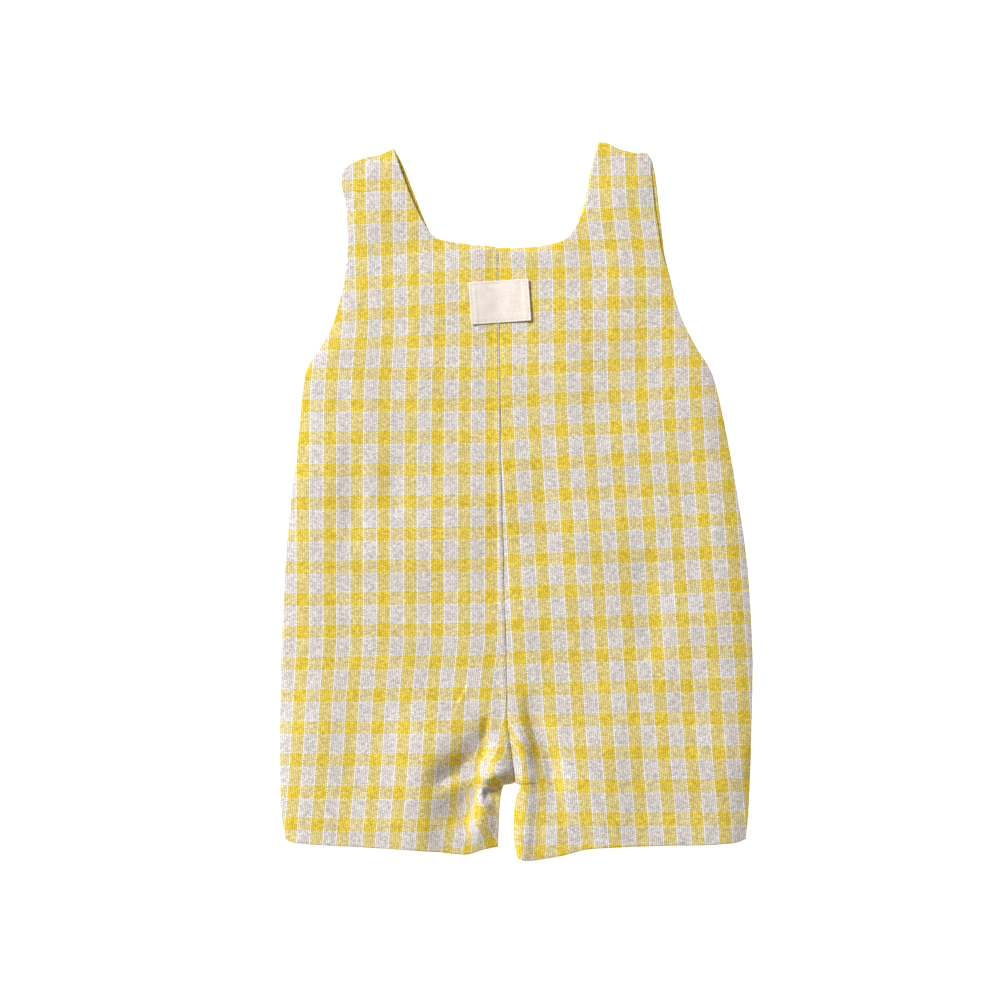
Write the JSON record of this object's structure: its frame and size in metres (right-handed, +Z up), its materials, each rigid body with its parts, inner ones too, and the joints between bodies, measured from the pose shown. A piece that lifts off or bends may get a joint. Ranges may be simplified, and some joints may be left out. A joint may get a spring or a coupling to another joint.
{
  "type": "baby's short dungarees laid flat",
  "caption": "Sleeveless short dungarees for a baby in woven gingham, laid flat with the back up: wide straps, scooped neckline, centre seam and turned leg hems.",
  "frame": {"origin": "middle of the garment's outline, on the surface it lies on", "axes": "+X across the garment, +Y from the leg hems to the shoulders, +Z up from the surface through the front halves to the back halves"},
  "size_m": [0.2837, 0.4304, 0.0104],
  "materials": {
    "gingham": "matte plain weave of cotton and linen with slubs, in yellow and off-white checks",
    "label_tape": "matte close-woven cream tape, bare"
  },
  "bodies": {
    "root": {"front_panel_left": "gingham", "front_panel_right": "gingham", "back_panel_left": "gingham", "back_panel_right": "gingham", "label": "label_tape"}
  },
  "joints": []
}
